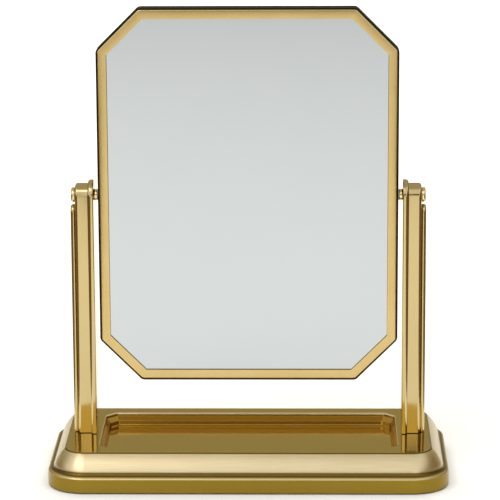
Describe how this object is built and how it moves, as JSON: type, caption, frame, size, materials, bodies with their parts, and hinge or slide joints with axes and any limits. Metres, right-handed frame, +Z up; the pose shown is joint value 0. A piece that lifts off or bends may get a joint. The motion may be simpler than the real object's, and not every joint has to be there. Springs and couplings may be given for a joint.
{
  "type": "tabletop vanity mirror",
  "caption": "Tabletop vanity mirror: a clipped-corner mirror in a brass frame tilts between stepped posts that stand on a rectangular base with a shallow sunk tray.",
  "frame": {"origin": "on the table, under the middle of the base's bounding box", "axes": "+Z up, +X to the viewer's right along the base's width, the mirror faces -Y"},
  "size_m": [0.28, 0.134, 0.3298],
  "materials": {
    "base_brass": "satin brushed along its length, lacquered",
    "post_brass": "smooth satin",
    "frame_brass": "smooth satin",
    "pivot_brass": "polished",
    "cover_steel": "matt black paint",
    "ballast_steel": "as cast",
    "fastener_steel": "zinc plated",
    "pad_rubber": "matt",
    "nylon": "natural nylon",
    "mirror_glass": "silvered float glass",
    "backing_board": "black board"
  },
  "bodies": {
    "base": {"base_shell": "base_brass", "base_cover": "cover_steel", "cover_screws": "fastener_steel", "ballast_plate": "ballast_steel", "foot_pad_front_left": "pad_rubber", "foot_pad_front_right": "pad_rubber", "foot_pad_back_left": "pad_rubber", "foot_pad_back_right": "pad_rubber", "post_left": "post_brass", "post_right": "post_brass", "post_washers": "fastener_steel", "post_screws": "fastener_steel", "pivot_bushing_left": "nylon", "pivot_bushing_right": "nylon", "pivot_spacer_left": "pivot_brass", "pivot_spacer_right": "pivot_brass"},
    "mirror": {"mirror_frame": "frame_brass", "mirror_glass": "mirror_glass", "backing_board": "backing_board", "back_panel": "frame_brass", "back_screws": "frame_brass", "pivot_block_left": "fastener_steel", "pivot_block_right": "fastener_steel", "pivot_pin_left": "fastener_steel", "pivot_pin_right": "fastener_steel", "pivot_cap_left": "pivot_brass", "pivot_cap_right": "pivot_brass", "friction_washer_left": "nylon", "friction_washer_right": "nylon", "spring_washer_left": "fastener_steel", "spring_washer_right": "fastener_steel"}
  },
  "joints": [
    {"name": "mirror_tilt", "type": "hinge", "parent": "base", "child": "mirror", "pos_m": [0, 0, 0.1978], "axis": [1, 0, 0], "continuous": true}
  ]
}
